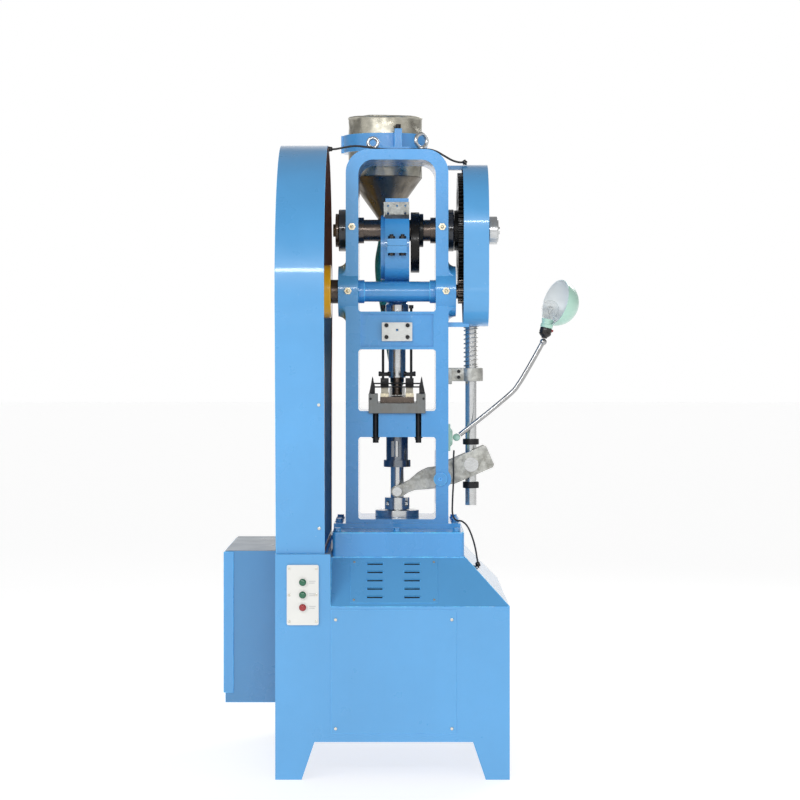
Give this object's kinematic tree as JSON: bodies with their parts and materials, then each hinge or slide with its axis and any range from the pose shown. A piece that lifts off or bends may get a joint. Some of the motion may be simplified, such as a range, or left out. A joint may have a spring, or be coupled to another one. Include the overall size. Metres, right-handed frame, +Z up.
{
  "type": "tablet press",
  "caption": "Single-punch eccentric tablet press with guarded flywheel and gears, hopper, ejector lever and work lamp on a sheet-metal cabinet.",
  "frame": {"origin": "on the floor below the ram axis, 8 mm beside the centre of the anchor holes", "axes": "+X to the gear side, right as seen from the front, +Y to the back, +Z up along the ram"},
  "size_m": [1.208, 1.11, 2.238],
  "materials": {
    "sheet_paint": "semi-gloss light blue enamel on sheet steel",
    "cast_paint": "semi-gloss blue enamel over cast iron, worn bright at edges",
    "motor_paint": "dark grey-blue enamel",
    "panel_white": "white powder coat",
    "zinc_screws": "bright zinc plate",
    "button_green": "green moulded plastic",
    "button_red": "red moulded plastic",
    "dark_steel": "oiled dark steel",
    "greased_iron": "black greased iron",
    "belt_rubber": "matt black rubber",
    "black_oxide": "black oxide",
    "cap_paint": "worn dark blue-black enamel",
    "brass": "machined brass",
    "hopper_steel": "dented stainless sheet",
    "hose_teal": "smooth teal rubber",
    "plate_steel": "pale satin metal",
    "ground_steel": "ground and turned bright steel",
    "galvanised": "mottled galvanised",
    "spring_steel": "bright spring wire",
    "flywheel_yellow": "yellow enamel",
    "conduit_steel": "bright conduit",
    "lamp_green": "pale green enamel",
    "bakelite": "black bakelite",
    "bulb_glass": "clear glass",
    "cable_black": "black cable sheath"
  },
  "bodies": {
    "press": {"base_cabinet": "sheet_paint", "base_panels": "sheet_paint", "panel_screws": "zinc_screws", "control_panel": "panel_white", "motor_cover": "sheet_paint", "motor_door": "sheet_paint", "motor": "motor_paint", "drive_belts": "belt_rubber", "pedestal": "cast_paint", "hex_bolts": "cast_paint", "main_frame": "cast_paint", "shaft_tube": "cast_paint", "bearing_bushes": "dark_steel", "bearing_caps": "cap_paint", "grease_nipples": "brass", "eyebolts": "ground_steel", "hopper": "hopper_steel", "hopper_clamp": "cast_paint", "feed_hose": "hose_teal", "flywheel_guard": "sheet_paint", "gear_guard": "sheet_paint", "guide_plate": "plate_steel", "socket_screws": "black_oxide", "die_table": "ground_steel", "die": "dark_steel", "feed_guides": "brass", "hold_downs": "black_oxide", "punch_sleeve": "galvanised", "fill_flange": "ground_steel", "lever_pivot": "cast_paint", "rod_bracket": "galvanised", "return_spring": "spring_steel", "lamp_base": "lamp_green", "cables": "cable_black"},
    "drive_shaft": {"flywheel": "flywheel_yellow", "drive_shaft": "dark_steel"},
    "crank": {"crankshaft": "dark_steel", "crank_gear": "greased_iron", "cam_disc": "greased_iron", "end_hub": "ground_steel"},
    "motor_rotor": {"motor_pulley": "dark_steel"},
    "ram": {"eccentric": "ground_steel", "strap_cap": "cast_paint", "strap_studs": "ground_steel", "con_rod": "cast_paint", "ram": "ground_steel", "upper_punch": "dark_steel"},
    "feed_shoe": {"feed_shoe": "ground_steel"},
    "lower_punch": {"lower_punch": "ground_steel"},
    "eject_lever": {"eject_lever": "galvanised"},
    "lift_rod": {"lift_rod": "ground_steel", "lift_collars": "black_oxide"},
    "fill_nut": {"fill_nut": "ground_steel"},
    "lamp_arm": {"lamp_arm": "conduit_steel"},
    "lamp_head": {"lamp_socket": "bakelite", "lamp_shade": "lamp_green", "lamp_bulb": "bulb_glass"},
    "start_button": {"start_button": "button_green"},
    "jog_button": {"jog_button": "button_green"},
    "stop_button": {"stop_button": "button_red"}
  },
  "joints": [
    {"name": "drive_spin", "type": "hinge", "parent": "press", "child": "drive_shaft", "pos_m": [0, -0.09, 1.60263], "axis": [1, 0, 0], "continuous": true},
    {"name": "crank_spin", "type": "hinge", "parent": "press", "child": "crank", "pos_m": [0, 0, 1.817], "axis": [1, 0, 0], "continuous": true},
    {"name": "motor_spin", "type": "hinge", "parent": "press", "child": "motor_rotor", "pos_m": [-0.319, -0.04, 0.47], "axis": [1, 0, 0], "continuous": true},
    {"name": "ram_slide", "type": "slide", "parent": "press", "child": "ram", "axis": [0, 0, 1], "range_m": [0, 0.12]},
    {"name": "feed_slide", "type": "slide", "parent": "press", "child": "feed_shoe", "axis": [0, -1, 0], "range_m": [0, 0.136]},
    {"name": "lever_tilt", "type": "hinge", "parent": "press", "child": "eject_lever", "pos_m": [0.1476, 0, 0.962], "axis": [0, 1, 0], "range_deg": [0, 20]},
    {"name": "lower_punch_slide", "type": "slide", "parent": "press", "child": "lower_punch", "axis": [0, 0, 1], "range_m": [0, 0.053]},
    {"name": "lift_rod_slide", "type": "slide", "parent": "press", "child": "lift_rod", "axis": [0, 0, -1], "range_m": [0, 0.04], "stiffness_N_per_m": 2500, "springref_m": -0.07, "deforming": ["return_spring"]},
    {"name": "fill_nut_turn", "type": "hinge", "parent": "press", "child": "fill_nut", "pos_m": [0, 0, 0.87], "axis": [0, 0, 1], "continuous": true},
    {"name": "lamp_swivel", "type": "hinge", "parent": "press", "child": "lamp_arm", "pos_m": [0.205, -0.06, 1.101], "axis": [0, 0, 1], "range_deg": [-90, 20]},
    {"name": "lamp_tilt", "type": "hinge", "parent": "lamp_arm", "child": "lamp_head", "pos_m": [0.504, -0.06, 1.43], "axis": [0, 1, 0], "range_deg": [-35, 35]},
    {"name": "start_button_press", "type": "slide", "parent": "press", "child": "start_button", "axis": [0, 1, 0], "range_m": [0, 0.004], "stiffness_N_per_m": 300, "springref_m": -0.001},
    {"name": "jog_button_press", "type": "slide", "parent": "press", "child": "jog_button", "axis": [0, 1, 0], "range_m": [0, 0.004], "stiffness_N_per_m": 300, "springref_m": -0.001},
    {"name": "stop_button_press", "type": "slide", "parent": "press", "child": "stop_button", "axis": [0, 1, 0], "range_m": [0, 0.004], "stiffness_N_per_m": 300, "springref_m": -0.001}
  ],
  "couplings": [
    {"joint": "crank_spin", "follows": "drive_spin", "ratio": -0.19231},
    {"joint": "motor_spin", "follows": "drive_spin", "ratio": 7.8148},
    {"joint": "lower_punch_slide", "follows": "lever_tilt", "m_per_rad": 0.1518},
    {"joint": "lift_rod_slide", "follows": "lever_tilt", "m_per_rad": 0.1139},
    {"joint": "feed_slide", "follows": "ram_slide", "ratio": 1.133}
  ]
}
